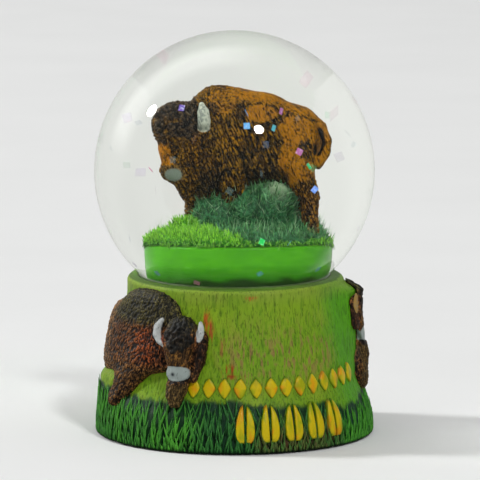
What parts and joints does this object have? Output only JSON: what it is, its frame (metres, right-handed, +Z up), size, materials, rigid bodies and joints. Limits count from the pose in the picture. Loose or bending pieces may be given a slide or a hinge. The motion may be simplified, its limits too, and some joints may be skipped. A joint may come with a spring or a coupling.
{
  "type": "snow globe",
  "caption": "Water-filled glass ball with a standing bison on a grass mound, floating glitter and a cast base with grass and bison in relief.",
  "frame": {"origin": "centre of the flat bottom, on the surface that it stands on", "axes": "+Z up along the ball's axis, -Y towards the front, +X to the right of someone facing the front"},
  "size_m": [0.065, 0.065, 0.0936],
  "materials": {
    "painted_resin": "hand-painted cast resin, satin",
    "felt": "pressed felt",
    "clear_glass": "clear, polished",
    "glue": "set epoxy, glossy",
    "black_rubber": "moulded, matte",
    "sealant": "cured silicone, satin",
    "green_resin": "smooth glossy paint",
    "grass_paint": "hand-painted cast resin, wet",
    "bison_paint": "orange-brown paint with a black wash in carved fur",
    "water": "clear liquid",
    "glitter_film": "iridescent film"
  },
  "bodies": {
    "globe": {"resin_base": "painted_resin", "felt_pad": "felt", "glass_globe": "clear_glass", "bedding_glue": "glue", "rubber_stopper": "black_rubber", "mouth_seal": "sealant", "pedestal_disc": "green_resin", "pedestal_glue": "glue", "grass_mound": "grass_paint", "bison_figure": "bison_paint", "liquid_fill": "water", "resting_glitter": "glitter_film"},
    "swirling_flakes": {"swirling_glitter": "glitter_film"},
    "sinking_flakes": {"sinking_glitter": "glitter_film"}
  },
  "joints": [
    {"name": "glitter_swirl", "type": "hinge", "parent": "globe", "child": "swirling_flakes", "pos_m": [0, 0, 0.061], "axis": [0, 0, 1], "continuous": true, "deforming": ["liquid_fill"]},
    {"name": "glitter_sink", "type": "slide", "parent": "globe", "child": "sinking_flakes", "axis": [0, 0, -1], "range_m": [-0.002, 0.009], "deforming": ["liquid_fill"]}
  ]
}
